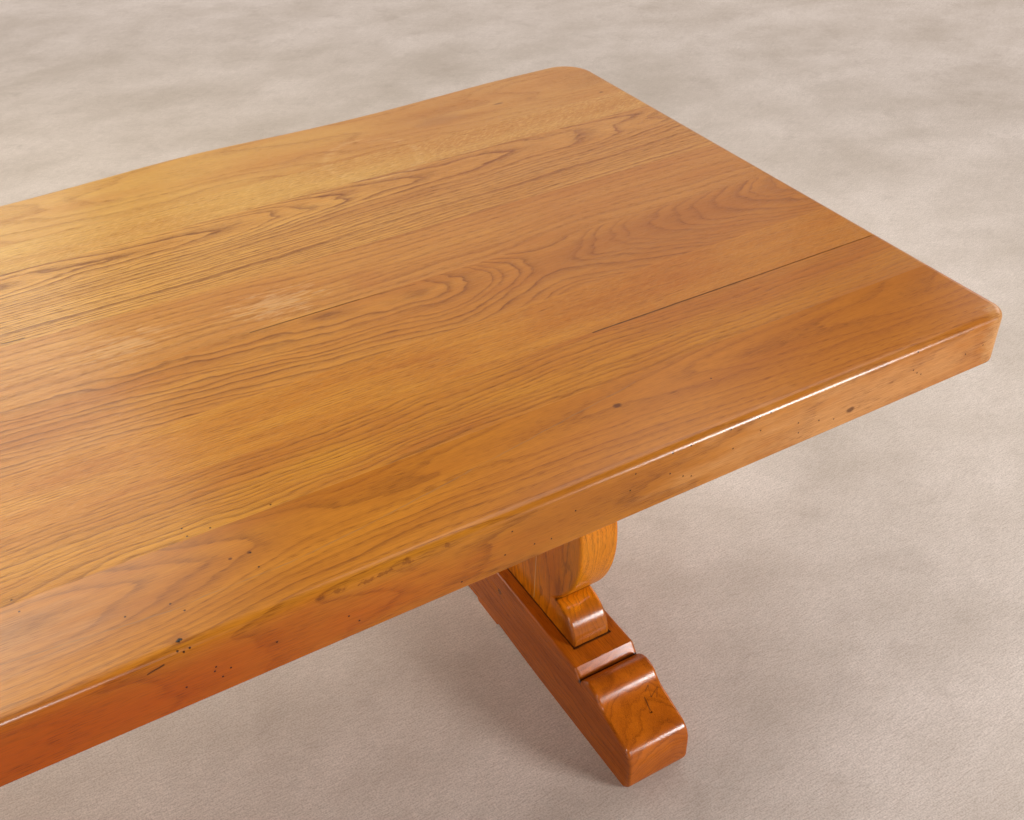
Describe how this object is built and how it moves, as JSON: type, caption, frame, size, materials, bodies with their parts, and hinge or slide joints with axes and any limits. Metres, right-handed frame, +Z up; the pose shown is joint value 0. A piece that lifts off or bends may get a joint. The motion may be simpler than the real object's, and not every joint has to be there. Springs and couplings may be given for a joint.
{
  "type": "trestle dining table",
  "caption": "Long solid-oak dining table: thick edge-jointed board top on lyre-shaped trestles with sled feet, tied by a wedged knock-down stretcher.",
  "frame": {"origin": "on the floor, under the middle of the tabletop", "axes": "+X along the table, +Y across it towards the long edge with the wandering outline, +Z up"},
  "size_m": [2.2, 1.018, 0.75],
  "materials": {
    "top_oak": "clear satin lacquer",
    "trestle_oak": "clear gloss lacquer",
    "bare_oak": "bare, planed",
    "steel": "zinc plated"
  },
  "bodies": {
    "table": {"top_board_1": "top_oak", "top_board_2": "top_oak", "top_board_3": "top_oak", "top_board_4": "top_oak", "top_board_5": "top_oak", "top_board_6": "top_oak", "top_board_7": "top_oak", "top_board_8": "top_oak", "right_foot": "trestle_oak", "left_foot": "trestle_oak", "right_bearer": "trestle_oak", "left_bearer": "trestle_oak", "right_upright_near_stave": "trestle_oak", "right_upright_middle_stave": "trestle_oak", "right_upright_far_stave": "trestle_oak", "left_upright_near_stave": "trestle_oak", "left_upright_middle_stave": "trestle_oak", "left_upright_far_stave": "trestle_oak", "stretcher": "trestle_oak", "top_tongue_1": "bare_oak", "top_tongue_2": "bare_oak", "top_tongue_3": "bare_oak", "top_tongue_4": "bare_oak", "top_tongue_5": "bare_oak", "top_tongue_6": "bare_oak", "top_tongue_7": "bare_oak", "foot_pegs": "bare_oak", "bearer_pegs": "bare_oak", "coach_screws": "steel", "screw_washers": "steel"},
    "right_wedge": {"right_wedge": "trestle_oak"},
    "left_wedge": {"left_wedge": "trestle_oak"}
  },
  "joints": [
    {"name": "right_wedge_lift", "type": "slide", "parent": "table", "child": "right_wedge", "axis": [0, 0, 1], "range_m": [0, 0.105]},
    {"name": "left_wedge_lift", "type": "slide", "parent": "table", "child": "left_wedge", "axis": [0, 0, 1], "range_m": [0, 0.105]}
  ]
}
